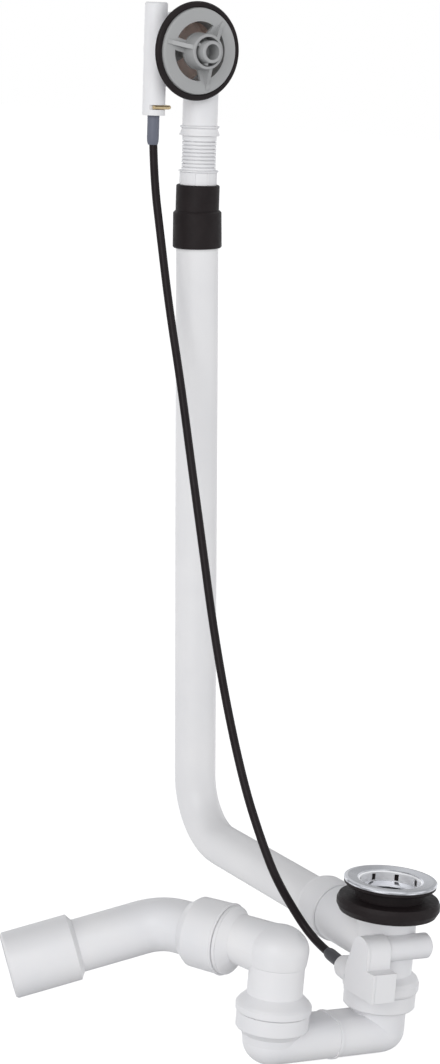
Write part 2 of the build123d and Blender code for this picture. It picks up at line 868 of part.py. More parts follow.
# Rack in the barrel
rack_tip = rack_pitch_offset + 0.9 * module
rack_root = rack_pitch_offset - 1.25 * module
rack_space = pi * module / 4 + 0.05
space_tip = rack_space + (rack_tip + 1.0 - rack_pitch_offset) * tan(radians(pressure))
space_root = rack_space - (rack_pitch_offset - rack_root) * tan(radians(pressure))
with BuildPart() as drive_rack:
    with BuildSketch(barrel.offset(disc_level - rack_down)):
        Circle(rack_r)
    extrude(amount=rack_up + rack_down)
    with BuildSketch(barrel.offset(disc_level - rack_down)):
        with Locations((rack_tip + 5.0, 0)):
            Rectangle(10.0, 4 * rack_r)
    extrude(amount=rack_up + rack_down, mode=Mode.SUBTRACT)
    with BuildSketch(Plane(barrel.origin, x_dir=barrel.x_dir, z_dir=-barrel.y_dir)):
        for space in range(-quadrant_half, quadrant_half + 1):
            space_level = disc_level + space * pi * module
            with BuildLine():
                Polyline(
                    (rack_root, space_level - space_root),
                    (rack_tip + 1.0, space_level - space_tip),
                    (rack_tip + 1.0, space_level + space_tip),
                    (rack_root, space_level + space_root),
                    close=True,
                )
            make_face()
    extrude(amount=rack_r + 1.0, both=True, mode=Mode.SUBTRACT)
    with BuildSketch(barrel.offset(disc_level - rack_down)):
        Circle(wire_r + 0.5)
    extrude(amount=18.0, mode=Mode.SUBTRACT)
drive_rack.part.label = "drive_rack"

# Brass clip that locks the cable end in the barrel
clip_plane = Plane(barrel.from_local_coords(Vector(0, 0, clip_level)), x_dir=barrel.x_dir, z_dir=barrel.z_dir)
leg_y = barrel_r - 1.9
with BuildPart() as cable_clip:
    with BuildLine(clip_plane):
        FilletPolyline(
            (-clip_tail, -leg_y, 0),
            (clip_reach, -leg_y, 0),
            (clip_reach, leg_y, 0),
            (-clip_tail, leg_y, 0),
            radius=3.0,
        )
    clip_start = clip_plane.from_local_coords(Vector(-clip_tail, -leg_y, 0))
    with BuildSketch(Plane(clip_start, x_dir=barrel.y_dir, z_dir=barrel.x_dir)):
        Circle(clip_wire_r)
    sweep()
cable_clip.part.label = "cable_clip"

# Cable ends: grey sleeves that seat the sheath
neck_r = leg_y - clip_wire_r - 0.15
top_sleeve = turned(
    barrel,
    (wire_r + 0.4, barrel_low - ferrule_drop + cable_seat),
    (sheath_r + 0.05, barrel_low - ferrule_drop + cable_seat),
    (sheath_r + 0.05, barrel_low - ferrule_drop),
    (ferrule_r - 0.9, barrel_low - ferrule_drop),
    (ferrule_r - 0.2, barrel_low - ferrule_drop + 2.4),
    (ferrule_r, barrel_low - ferrule_drop + 5.0),
    (ferrule_r, barrel_low - 0.2),
    (rack_r, barrel_low),
    (rack_r, clip_level - clip_wire_r - 0.4),
    (neck_r, clip_level - clip_wire_r - 0.4),
    (neck_r, clip_level + clip_wire_r + 0.4),
    (rack_r, clip_level + clip_wire_r + 0.4),
    (rack_r, barrel_low + 14.0),
    (wire_r + 0.4, barrel_low + 14.0),
)
with BuildPart() as cable_end_top:
    add(top_sleeve)
cable_end_top.part.label = "cable_end_top"

low_end = gland_end + 20.0
bottom_sleeve = turned(
    rod,
    (wire_r + 0.4, gland_end - 6.0),
    (rod_r + 1.3, gland_end - 6.0),
    (rod_r + 1.3, gland_end + 0.6),
    (ferrule_r, gland_end + 1.4),
    (ferrule_r, low_end - 5.0),
    (ferrule_r - 0.3, low_end - 2.0),
    (ferrule_r - 0.9, low_end),
    (sheath_r + 0.05, low_end),
    (sheath_r + 0.05, low_end - cable_seat),
    (wire_r + 0.4, low_end - cable_seat),
)
with BuildPart() as cable_end_bottom:
    add(bottom_sleeve)
cable_end_bottom.part.label = "cable_end_bottom"

# Cable: sheath and inner wire along the free route from the head to the lift case
cable_top = barrel.from_local_coords(Vector(0, 0, barrel_low - ferrule_drop + cable_seat - 0.2))
cable_foot = rod.from_local_coords(Vector(0, 0, low_end - cable_seat + 0.2))
aim = rod.from_local_coords(Vector(0, 0, low_end + 14.0))
fall = barrel.z_dir * -36.0
route = [cable_top, cable_top + fall]
for share in (0.14, 0.23, 0.33, 0.43, 0.53, 0.63, 0.73, 0.82, 0.88, 0.925):
    across = 1.31 * share - 1.0 * share**2 + 0.69 * share**16
    back = share**1.6
    route.append(
        Vector(
            cable_top.X + (aim.X - cable_top.X) * across,
            cable_top.Y + (aim.Y - cable_top.Y) * back,
            cable_top.Z + (aim.Z - cable_top.Z) * share,
        )
    )
leave = (route[-1] - aim).normalized()
turn_in = rod.from_local_coords(Vector(0, 0, low_end + 6.3))
for _ in range(4):
    turn_mid = turn_in + (rod.z_dir * 2 + leave).normalized() * turn_step
    turn_out = turn_mid + (rod.z_dir + leave * 2).normalized() * turn_step
    leave = (route[-1] - turn_out).normalized()
route.append(turn_out)
route.append(turn_mid)
route.append(turn_in)
route.append(cable_foot)


def bend_radius(before, corner, after):
    """Radius that uses just under half of the shorter run at a corner."""
    run_in = (corner - before).normalized()
    run_out = (after - corner).normalized()
    turn_angle = acos(max(-1.0, min(1.0, run_in.dot(run_out))))
    shorter = min((corner - before).length, (after - corner).length)
    return 0.45 * shorter / tan(turn_angle / 2)


route_radii = [bend_radius(route[k - 1], route[k], route[k + 1]) for k in range(1, len(route) - 1)]
print("cable bend radii", [round(radius) for radius in route_radii])
print("cable runs", [round((route[k + 1] - route[k]).length, 1) for k in range(len(route) - 1)])

with BuildPart() as cable:
    with BuildLine() as sheath_path:
        FilletPolyline(*route, radius=route_radii)
    with BuildSketch(Plane(route[0], z_dir=route[1] - route[0])):
        Circle(sheath_r)
        Circle(sheath_bore_r, mode=Mode.SUBTRACT)
    sweep()
cable.part.label = "cable"
sheath_area = pi * (sheath_r**2 - sheath_bore_r**2)
print("cable length", round(sheath_path.wires()[0].length, 1))
print("cable length from volume", round(cable.part.volume / sheath_area, 1))

wire_top = barrel.from_local_coords(Vector(0, 0, disc_level - rack_down + 8.5))
wire_foot = rod.from_local_coords(Vector(0, 0, wire_hole + 8.8))
wire_route = [wire_top] + route[1:-1] + [wire_foot]
with BuildPart() as cable_wire:
    with BuildLine():
        FilletPolyline(*wire_route, radius=route_radii)
    with BuildSketch(Plane(wire_top, z_dir=wire_route[1] - wire_route[0])):
        Circle(wire_r)
    sweep()
cable_wire.part.label = "cable_wire"

# Trap bowl: flat-topped low pipe with a collar at each end
waste_face = -thread_end
waste_collar_top = waste_face - washer_t - 0.4
riser_cup_top = riser_union - 0.4
riser_plug_end = riser_union - riser_plug_drop
bowl_floor = bowl_z - bowl_h / 2
bowl_waist = bowl_floor + bowl_belly
waste_collar = turned(
    waste,
    (0, bowl_waist),
    (collar_r, bowl_waist),
    (collar_r, waste_collar_top - collar_flange_t),
    (collar_flange_r, waste_collar_top - collar_flange_t),
    (collar_flange_r, waste_collar_top),
    (0, waste_collar_top),
)
riser_cup = turned(
    riser,
    (0, riser_cup_low - 4.0),
    (bowl_end_r - 0.4, riser_cup_low - 4.0),
    (riser_cup_r - 2.2, riser_cup_low - 0.6),
    (riser_cup_r - 0.8, riser_cup_low),
    (riser_cup_r, riser_cup_low + 1.0),
    (riser_cup_r, riser_cup_top),
    (0, riser_cup_top),
)
riser_bore_r = riser_r + slide_gap
groove_low = riser_plug_end + 2.4
groove_high = riser_cup_top - 1.8
riser_room = turned(
    riser,
    (0, riser_plug_end - 0.4),
    (riser_bore_r, riser_plug_end - 0.4),
    (riser_bore_r, groove_low),
    (riser_bore_r + 2.8, groove_low),
    (riser_bore_r + 2.8, groove_high),
    (riser_bore_r, groove_high),
    (riser_bore_r, riser_cup_top + 1.0),
    (0, riser_cup_top + 1.0),
)
bowl_crown = riser_cup_low - 2.0
collar_bore_r = collar_r - bowl_wall


def bowl_section(level, grow):
    """Section of the low pipe: flat top, round shoulders and an elliptical underside."""
    half = bowl_w / 2 + grow
    top = bowl_z + bowl_h / 2 + grow
    shoulder = bowl_corner + grow
    with BuildSketch(Plane.YZ.offset(level)) as section:
        with BuildLine():
            EllipticalCenterArc((0, bowl_waist), half, bowl_belly + grow, 180, arc_size=180)
            Line((half, bowl_waist), (half, top - shoulder))
            CenterArc((half - shoulder, top - shoulder), shoulder, 0, 90)
            Line((half - shoulder, top), (shoulder - half, top))
            CenterArc((shoulder - half, top - shoulder), shoulder, 90, 90)
            Line((-half, top - shoulder), (-half, bowl_waist))
        make_face()
    return section.sketch


def bowl_end(frame, grow):
    """Underside of an end of the low pipe: the section's ellipse turned about the frame's z."""
    with BuildPart() as made:
        with BuildSketch(Plane(frame.origin, x_dir=frame.x_dir, z_dir=-frame.y_dir)):
            with BuildLine():
                EllipticalCenterArc((0, bowl_waist), bowl_w / 2 + grow, bowl_belly + grow, -90, arc_size=90)
                Line((bowl_w / 2 + grow, bowl_waist), (0, bowl_waist))
                Line((0, bowl_waist), (0, bowl_floor - grow))
            make_face()
        revolve(axis=Axis(frame.origin, frame.z_dir))
    return made.part


with BuildPart() as bowl_round:
    with BuildSketch(Plane(riser.origin, x_dir=riser.x_dir, z_dir=-riser.y_dir)):
        with BuildLine():
            EllipticalCenterArc((0, bowl_waist), bowl_w / 2, bowl_belly, -90, arc_size=90)
            Line((bowl_w / 2, bowl_waist), (bowl_end_r, bowl_crown))
            Line((bowl_end_r, bowl_crown), (0, bowl_crown))
            Line((0, bowl_crown), (0, bowl_floor))
        make_face()
    revolve(axis=Axis(riser.origin, riser.z_dir))
bead_x = -0.46 * trap_reach
with BuildPart() as trap_bowl:
    extrude(bowl_section(-trap_reach, 0), amount=trap_reach)
    add(bowl_round.part)
    add(bowl_end(waste, 0))
    add(waste_collar)
    add(riser_cup)
    extrude(bowl_section(bead_x - 1.2, 0.9), amount=2.4)
    # waterway
    extrude(bowl_section(-trap_reach, -bowl_wall), amount=trap_reach, mode=Mode.SUBTRACT)
    add(bowl_end(riser, -bowl_wall), mode=Mode.SUBTRACT)
    add(bowl_end(waste, -bowl_wall), mode=Mode.SUBTRACT)
    with BuildSketch(Plane.XY.offset(bowl_waist)):
        with Locations((0, 0), (-trap_reach, 0)):
            Circle(collar_bore_r)
    extrude(amount=40.0, mode=Mode.SUBTRACT)
    add(riser_room, mode=Mode.SUBTRACT)
trap_bowl.part.label = "trap_bowl"

# Union nut and washer of the trap, and the ring seal of the riser
waste_nut = turned(
    waste,
    (thread_r + slide_gap, waste_collar_top - collar_flange_t - seat_gap),
    (thread_r + slide_gap, -shoulder_bottom - 0.4),
    (union_r, -shoulder_bottom - 0.4),
    (union_r, -shoulder_bottom - union_h + 1.4),
    (union_r - 1.4, -shoulder_bottom - union_h),
    (collar_r + slide_gap, -shoulder_bottom - union_h),
    (collar_r + slide_gap, waste_collar_top - collar_flange_t - seat_gap),
)
with BuildPart() as trap_nut:
    add(waste_nut)
trap_nut.part.label = "trap_nut"

washer_in = collar_bore_r + 0.4
with BuildPart() as trap_washer:
    add(tube_ring(waste, washer_in, collar_flange_r - 0.3, waste_collar_top + 0.1, waste_face - 0.3))
trap_washer.part.label = "trap_washer"

with BuildPart() as riser_seal:
    add(tube_ring(riser, riser_r + 0.05, riser_bore_r + 2.5, groove_low + 0.2, groove_high - 0.2))
riser_seal.part.label = "riser_seal"

# Trap outlet: riser, domed elbow, raised arm and threaded bell
riser_body = turned(
    riser,
    (0, riser_plug_end),
    (riser_r - 0.8, riser_plug_end),
    (riser_r, riser_plug_end + 1.6),
    (riser_r, riser_union),
    (riser_ring_r - 0.6, riser_union),
    (riser_ring_r, riser_union + 0.8),
    (riser_ring_r, riser_union + 5.2),
    (riser_ring_r - 1.4, riser_union + 7.2),
    (riser_r, riser_union + 13.0),
    (riser_r, elbow_foot - 0.4),
    (riser_r + 0.7, elbow_foot),
    (riser_r + 0.7, out_z),
    (0, out_z),
)
arm = Plane((-trap_reach, 0, out_z + arm_rise), x_dir=out_side, z_dir=out_dir)
dome_h = arm_rise + arm_r
swell_start = out.from_local_coords(Vector(0, 0, -4.0))
swell_end = arm.from_local_coords(Vector(0, 0, bell_start + 2.0))
swell = Plane(swell_start, x_dir=out_side, z_dir=swell_end - swell_start)
swell_length = (swell_end - swell_start).length
arm_body = turned(swell, (0, 0), (dome_h - 0.6, 0), (arm_r, swell_length), (0, swell_length))
bell_face = out_nut_start + 16.0
bell = turned(
    out,
    (0, bell_end - 0.5),
    (bell_r, bell_end - 0.5),
    (bell_r, out_nut_start - 0.4),
    (thread_r - 0.4, out_nut_start - 0.4),
    (thread_r - 0.4, bell_face),
    (0, bell_face),
)
way_r = riser_r - riser_wall
with BuildPart() as elbow_dome:
    with BuildSketch(Plane(out.origin, x_dir=riser.x_dir, z_dir=-riser.y_dir)):
        with BuildLine():
            Line((0, elbow_foot - out_z), (riser_r + 0.7, elbow_foot - out_z))
            ThreePointArc((riser_r + 0.7, elbow_foot - out_z), (elbow_r - 0.4, -2.5), (elbow_r, arm_rise))
            EllipticalCenterArc((0, arm_rise), elbow_r, arm_r, 0, arc_size=90)
            Line((0, dome_h), (0, elbow_foot - out_z))
        make_face()
    revolve(axis=Axis(riser.origin, riser.z_dir))
with BuildPart() as trap_outlet:
    add(riser_body)
    add(elbow_dome.part)
    add(arm_body)
    with BuildSketch(arm.offset(bell_start - 0.8)):
        Circle(arm_r - 0.8)
    with BuildSketch(out.offset(bell_end)):
        Circle(bell_r)
    loft()
    add(bell)
    # waterway
    with BuildSketch(riser.offset(riser_plug_end)):
        Circle(way_r)
    extrude(amount=out_z + arm_rise - riser_plug_end, mode=Mode.SUBTRACT)
    with BuildSketch(arm):
        Circle(arm_r - riser_wall)
    extrude(amount=bell_face - 8.0, mode=Mode.SUBTRACT)
    with BuildSketch(out.offset(bell_face - 12.0)):
        Circle(outlet_r + slide_gap)
    extrude(amount=14.0, mode=Mode.SUBTRACT)
trap_outlet.part.label = "trap_outlet"

# Outlet nut and its seal
nut_tail = out_nut_start + out_nut_length
outlet_nut_body = turned(
    out,
    (thread_r - 0.4 + slide_gap, out_nut_start),
    (out_nut_r, out_nut_start),
    (out_nut_r + 0.5, out_nut_start + 0.8),
    (out_nut_r, out_nut_start + 2.2),
    (out_nut_r - 0.4, nut_tail - 2.0),
    (out_nut_r - 1.6, nut_tail),
    (outlet_r + 1.4, nut_tail + 5.0),
    (outlet_r + slide_gap, nut_tail + 5.0),
    (outlet_r + slide_gap, nut_tail + 1.0),
    (thread_r - 0.4 + slide_gap, nut_tail - 3.0),
)
with BuildPart() as outlet_nut:
    add(outlet_nut_body)
outlet_nut.part.label = "outlet_nut"

outlet_seal_body = turned(
    out,
    (outlet_r + 0.3, bell_face + 0.3),
    (thread_r - 0.9, bell_face + 0.3),
    (thread_r - 0.9, nut_tail - 4.2),
    (outlet_r + 0.9, nut_tail - 0.4),
    (outlet_r + 0.3, nut_tail - 0.4),
)
with BuildPart() as outlet_seal:
    add(outlet_seal_body)
outlet_seal.part.label = "outlet_seal"

# Outlet elbow with its larger spigot
elbow_start = bell_face - 11.0
spigot_outer = turned(
    spout,
    (0, outlet_step - 3.2),
    (outlet_r, outlet_step - 3.2),
    (outlet_spigot_r, outlet_step),
    (outlet_spigot_r, outlet_end - 1.6),
    (outlet_spigot_r - 1.4, outlet_end),
    (0, outlet_end),
)
spigot_room = turned(
    spout,
    (0, outlet_step - 4.0),
    (outlet_r - outlet_wall, outlet_step - 4.0),
    (outlet_spigot_r - outlet_wall, outlet_step + 1.0),
    (outlet_spigot_r - outlet_wall, outlet_end + 1.0),
    (0, outlet_end + 1.0),
)
with BuildPart() as outlet_elbow:
    with BuildLine():
        FilletPolyline(
            out.from_local_coords(Vector(0, 0, elbow_start)),
            outlet_tip,
            spout.from_local_coords(Vector(0, 0, outlet_step - 1.0)),
            radius=outlet_bend_r,
        )
    with BuildSketch(out.offset(elbow_start)):
        Circle(outlet_r)
        Circle(outlet_r - outlet_wall, mode=Mode.SUBTRACT)
    sweep()
    add(spigot_outer)
    add(spigot_room, mode=Mode.SUBTRACT)
    with BuildSketch(spout.offset(outlet_step - 6.0)):
        Circle(outlet_r - outlet_wall)
    extrude(amount=8.0, mode=Mode.SUBTRACT)
outlet_elbow.part.label = "outlet_elbow"

# One file for each piece
pieces = [
    valve_seat, waste_seal, waste_body, lift_cover, lift_shaft, lift_finger, lift_pin, pull_rod,
    overflow_pipe, pipe_nut, pipe_seal, pipe_sleeve, overflow_body, overflow_seal, overflow_flange,
    drive_quadrant, drive_rack, cable_clip, cable_end_top, cable_end_bottom, cable, cable_wire,
    trap_bowl, trap_nut, trap_washer, riser_seal, trap_outlet, outlet_nut, outlet_seal, outlet_elbow,
]
for piece in pieces:
    export_step(piece.part, f"parts/{piece.part.label}.step")
    print(piece.part.label, len(piece.part.solids()), round(piece.part.volume / 1000, 2), "cm3")
print("disc", disc.origin, "barrel z", barrel.z_dir, "rod", rod.origin, rod.z_dir)
print("riser", riser.origin, "out", out.origin, out.z_dir, "spout", spout.origin, spout.z_dir)
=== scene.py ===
"""Looks, light and camera for a bath waste and overflow set. Lengths are in metres."""

import json
import math

import bpy
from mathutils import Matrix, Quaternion, Vector


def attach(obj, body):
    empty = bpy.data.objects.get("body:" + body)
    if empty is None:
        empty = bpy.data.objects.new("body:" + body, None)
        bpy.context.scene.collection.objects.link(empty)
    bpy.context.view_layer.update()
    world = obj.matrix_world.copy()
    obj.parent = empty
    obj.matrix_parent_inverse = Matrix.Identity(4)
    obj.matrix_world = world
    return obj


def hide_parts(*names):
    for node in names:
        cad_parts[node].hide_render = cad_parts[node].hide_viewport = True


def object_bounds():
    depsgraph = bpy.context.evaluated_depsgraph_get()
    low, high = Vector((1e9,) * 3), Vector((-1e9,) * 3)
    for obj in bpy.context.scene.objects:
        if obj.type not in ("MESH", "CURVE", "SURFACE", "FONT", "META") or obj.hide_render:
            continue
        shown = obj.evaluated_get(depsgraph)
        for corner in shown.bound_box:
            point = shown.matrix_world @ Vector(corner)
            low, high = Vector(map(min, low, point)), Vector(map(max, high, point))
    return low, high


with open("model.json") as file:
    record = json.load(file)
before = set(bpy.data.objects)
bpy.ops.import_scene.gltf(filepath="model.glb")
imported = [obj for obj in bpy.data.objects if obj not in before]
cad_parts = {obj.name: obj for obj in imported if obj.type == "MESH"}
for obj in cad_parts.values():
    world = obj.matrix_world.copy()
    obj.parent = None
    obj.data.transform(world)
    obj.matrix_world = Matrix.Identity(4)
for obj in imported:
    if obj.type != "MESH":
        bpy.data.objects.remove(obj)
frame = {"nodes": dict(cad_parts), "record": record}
nodes = frame["nodes"]
cad_low, cad_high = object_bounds()

# Camera, fitted to the photograph's viewing angle
CAMERA_TARGET = Vector((-0.17031, 0.0, 0.26269))
CAMERA_DISTANCE = 1.9011
CAMERA_AZIMUTH = -29.82
CAMERA_ELEVATION = 9.45
CAMERA_ROLL = 4.81
CAMERA_LENS = 92.47
CAMERA_SENSOR = 36.0
CAMERA_CLIP_START = 0.05
CAMERA_CLIP_END = 200.0

# Cable, with the control points of its sheath from the overflow head to the lift case.
# Most points are moved from the solid's route, by 3.4 mm at most, to follow the photograph.
SHEATH_R = 0.0033
WIRE_R = 0.00085
CABLE_ROUTE = [
    (-0.0901, 0.2989, 0.5276),
    (-0.0867, 0.2982, 0.4917),
    (-0.0810, 0.2890, 0.4446),
    (-0.0757, 0.2759, 0.3913),
    (-0.0698, 0.2566, 0.3320),
    (-0.0670, 0.2346, 0.2727),
    (-0.0655, 0.2094, 0.2135),
    (-0.0658, 0.1812, 0.1542),
    (-0.0652, 0.1491, 0.0949),
    (-0.0629, 0.1170, 0.0416),
    (-0.0580, 0.0938, 0.0060),
    (-0.0520, 0.0766, -0.0207),
    (-0.0364, 0.0672, -0.0472),
    (-0.0301, 0.0569, -0.0590),
    (-0.0265, 0.0412, -0.0659),
    (-0.0265, 0.0242, -0.0677),
]
WIRE_TOP = (-0.0927, 0.2989, 0.5732)
WIRE_FOOT = (-0.0265, -0.0057, -0.0709)

# Stretch of a noise pattern that carries a surface from one tone, or one roughness, to the other
TINT_SPAN = (0.32, 0.68)
GLOSS_SPAN = (0.3, 0.7)

# Share of the usual plastic reflection that black rubber keeps
RUBBER_SHEEN = 0.2

# Cups with another finish inside: radius, lowest height along the axis, and the finish; the seat cup's
# brighter tone is painted reflected light
OVERFLOW_CUP_R = 0.0278
OVERFLOW_CUP_FLOOR = -0.0362
OVERFLOW_CUP_TONE = (0.84, 0.71, 0.65)
SEAT_CENTRE = (0.0, 0.0, 0.0)
SEAT_AXIS = (0.0, 0.0, 1.0)
SEAT_CUP_R = 0.0236
SEAT_CUP_FLOOR = -0.0088
# Painted light: the seat cup's chrome wall is painted near white as a painted reflection; its satin
# roughness is the wall's own
SEAT_CUP_PAINTED_REFLECTION_TONE = (0.99, 0.99, 1.0)
SEAT_CUP_ROUGHNESS = 0.55

# Floor
FLOOR_RADIUS = 40.0
FLOOR_SIDES = 64
FLOOR_GAP = 0.0005
FLOOR_TONE = (0.9, 0.9, 0.9)
FLOOR_GLOW = 0.62

# Surround: what the camera sees, what lights the part, and the bands that glossy surfaces mirror
WHITE = (1.0, 1.0, 1.0)
AMBIENT_TINT = (0.985, 0.99, 1.0)
HORIZON_GLOW = 1.25
ZENITH_GLOW = 0.15
HORIZON_FALL = 2.0
MIRROR_TINT = (0.97, 0.98, 1.0)
MIRROR_LOW = 0.46
MIRROR_HIGH = 1.15
MIRROR_SPAN = (0.38, 0.62)
MIRROR_BANDS = 2.6
MIRROR_FLATTEN = (1.0, 1.0, 0.2)
MIRROR_SHIFT = (0.0, 5.0, 0.0)


# Shader nodes

def operate(tree, kind, operation, *operands):
    """A math node, each operand a number, a vector or another node's output."""
    node = tree.nodes.new(kind)
    node.operation = operation
    for socket, operand in zip(node.inputs, operands):
        if isinstance(operand, bpy.types.NodeSocket):
            tree.links.new(operand, socket)
        else:
            socket.default_value = operand
    return node


def number_math(tree, operation, *operands):
    """The result of a math node on numbers."""
    return operate(tree, "ShaderNodeMath", operation, *operands).outputs["Value"]


def vector_math(tree, operation, *operands):
    """A math node on vectors, with a vector and a number as its outputs."""
    return operate(tree, "ShaderNodeVectorMath", operation, *operands).outputs


def map_range(tree, value, span, target):
    """A value carried from a span to a target range and held inside it."""
    node = tree.nodes.new("ShaderNodeMapRange")
    for name, limit in zip(("From Min", "From Max", "To Min", "To Max"), (*span, *target)):
        node.inputs[name].default_value = limit
    tree.links.new(value, node.inputs["Value"])
    return node.outputs["Result"]


def noise(tree, scale, detail=3.0, stretch=(1.0, 1.0, 1.0)):
    """Noise over the row frame, scale in cycles a metre, drawn out along each axis by stretch."""
    place = tree.nodes.new("ShaderNodeTexCoord")
    mapping = tree.nodes.new("ShaderNodeMapping")
    mapping.inputs["Scale"].default_value = [1.0 / s for s in stretch]
    texture = tree.nodes.new("ShaderNodeTexNoise")
    texture.inputs["Scale"].default_value = scale
    texture.inputs["Detail"].default_value = detail
    tree.links.new(place.outputs["Object"], mapping.inputs["Vector"])
    tree.links.new(mapping.outputs["Vector"], texture.inputs["Vector"])
    return texture.outputs["Fac"]


def inside_cup(tree, centre, axis, radius, floor):
    """A mask that is 1 inside a round cup about an axis and 0 elsewhere."""
    place = tree.nodes.new("ShaderNodeTexCoord").outputs["Object"]
    offset = vector_math(tree, "SUBTRACT", place, centre)["Vector"]
    height = vector_math(tree, "DOT_PRODUCT", offset, axis)["Value"]
    sideways = vector_math(tree, "CROSS_PRODUCT", offset, axis)["Vector"]
    distance = vector_math(tree, "LENGTH", sideways)["Value"]
    near = number_math(tree, "LESS_THAN", distance, radius)
    above = number_math(tree, "GREATER_THAN", height, floor)
    return number_math(tree, "MULTIPLY", near, above)


# Surface properties

def new_material(name):
    """A material with one Principled shader, its tree and that shader."""
    material = bpy.data.materials.new(name)
    material.use_nodes = True
    tree = material.node_tree
    tree.nodes.clear()
    output = tree.nodes.new("ShaderNodeOutputMaterial")
    shader = tree.nodes.new("ShaderNodeBsdfPrincipled")
    tree.links.new(shader.outputs["BSDF"], output.inputs["Surface"])
    return material, tree, shader


def tint(tree, shader, pattern, tones):
    """Base colour that wanders between two near tones."""
    ramp = tree.nodes.new("ShaderNodeValToRGB")
    for element, position, tone in zip(ramp.color_ramp.elements, TINT_SPAN, tones):
        element.position = position
        element.color = (*tone, 1.0)
    tree.links.new(pattern, ramp.inputs["Fac"])
    tree.links.new(ramp.outputs["Color"], shader.inputs["Base Color"])


def vary_roughness(tree, shader, pattern, gloss):
    """Roughness that wanders between two values."""
    tree.links.new(map_range(tree, pattern, GLOSS_SPAN, gloss), shader.inputs["Roughness"])


def relief(tree, shader, pattern, depth, edge=0.0005):
    """Fine surface relief over edges that are eased by a small radius."""
    eased = tree.nodes.new("ShaderNodeBevel")
    eased.samples = 4
    eased.inputs["Radius"].default_value = edge
    bump = tree.nodes.new("ShaderNodeBump")
    bump.inputs["Strength"].default_value = 0.6
    bump.inputs["Distance"].default_value = depth
    tree.links.new(eased.outputs["Normal"], bump.inputs["Normal"])
    tree.links.new(pattern, bump.inputs["Height"])
    tree.links.new(bump.outputs["Normal"], shader.inputs["Normal"])


def where_masked(tree, socket, mask, data_type, value):
    """Another value of a linked shader input where the mask is 1."""
    blend = tree.nodes.new("ShaderNodeMix")
    blend.data_type = data_type
    blend.inputs["B"].default_value = value
    first = socket.links[0].from_socket
    tree.links.new(mask, blend.inputs["Factor"])
    tree.links.new(first, blend.inputs["A"])
    tree.links.new(blend.outputs["Result"], socket)


# Materials, each with two near tones and a range of roughness

def moulded_plastic(name, tones, gloss, glow=0.0):
    """Moulded plastic: faint mottling, fine tool grain and slightly uneven gloss."""
    material, tree, shader = new_material(name)
    tint(tree, shader, noise(tree, scale=22.0), tones)
    vary_roughness(tree, shader, noise(tree, scale=160.0), gloss)
    relief(tree, shader, noise(tree, scale=2400.0, detail=2.0), depth=0.00002)
    if glow > 0:
        shader.inputs["Subsurface Weight"].default_value = glow
        shader.inputs["Subsurface Radius"].default_value = (1.0, 0.9, 0.85)
        shader.inputs["Subsurface Scale"].default_value = 0.003
    return material


def drawn_pipe(name, tones, gloss):
    """Extruded pipe: smoother than a moulding, with faint upright streaks."""
    material, tree, shader = new_material(name)
    tint(tree, shader, noise(tree, scale=18.0), tones)
    vary_roughness(tree, shader, noise(tree, scale=420.0, detail=2.0, stretch=(1.0, 1.0, 30.0)), gloss)
    relief(tree, shader, noise(tree, scale=700.0, detail=2.0, stretch=(1.0, 1.0, 40.0)), depth=0.000012)
    return material


def rubber(name, tones, gloss):
    """Matt black rubber with a soft bloom and a fine cast grain."""
    material, tree, shader = new_material(name)
    shader.inputs["Specular IOR Level"].default_value = RUBBER_SHEEN
    tint(tree, shader, noise(tree, scale=70.0, detail=5.0), tones)
    vary_roughness(tree, shader, noise(tree, scale=260.0), gloss)
    relief(tree, shader, noise(tree, scale=1500.0), depth=0.00004, edge=0.0006)
    return material


def metal(name, tones, gloss, grain, depth, edge=0.0004):
    """Bare or plated metal with faint tool marks."""
    material, tree, shader = new_material(name)
    shader.inputs["Metallic"].default_value = 1.0
    tint(tree, shader, noise(tree, scale=90.0), tones)
    vary_roughness(tree, shader, noise(tree, scale=300.0), gloss)
    relief(tree, shader, noise(tree, scale=grain, detail=2.0), depth, edge)
    return material


def white_plastic(name):
    """The white plastic of the mouldings, which lets a little light in."""
    tones = ((0.775, 0.775, 0.795), (0.815, 0.81, 0.82))
    return moulded_plastic(name, tones, gloss=(0.34, 0.44), glow=0.06)


def lined_overflow():
    """White moulding whose cup is brown inside, as the windows of the flange show it."""
    material = white_plastic("white_overflow")
    tree = material.node_tree
    shader = tree.nodes["Principled BSDF"]
    drive = next(j for j in frame["record"]["behaviour"]["joints"] if j["name"] == "drive_turn")
    mask = inside_cup(tree, drive["pos_m"], drive["axis"], OVERFLOW_CUP_R, OVERFLOW_CUP_FLOOR)
    where_masked(tree, shader.inputs["Base Color"], mask, "RGBA", (*OVERFLOW_CUP_TONE, 1.0))
    return material


def chrome_with_painted_seat_reflection():
    """Polished chrome whose wall inside the seat is painted brighter, a painted reflection, with a satin
    roughness there.
    """
    tones = ((0.645, 0.652, 0.685), (0.69, 0.70, 0.728))
    material = metal("chrome", tones, gloss=(0.14, 0.2), grain=90.0, depth=0.000002)
    tree = material.node_tree
    shader = tree.nodes["Principled BSDF"]
    mask = inside_cup(tree, SEAT_CENTRE, SEAT_AXIS, SEAT_CUP_R, SEAT_CUP_FLOOR)
    # Painted reflection: the chrome inside the seat's cup is painted brighter than the rest
    where_masked(tree, shader.inputs["Base Color"], mask, "RGBA", (*SEAT_CUP_PAINTED_REFLECTION_TONE, 1.0))
    where_masked(tree, shader.inputs["Roughness"], mask, "FLOAT", SEAT_CUP_ROUGHNESS)
    return material


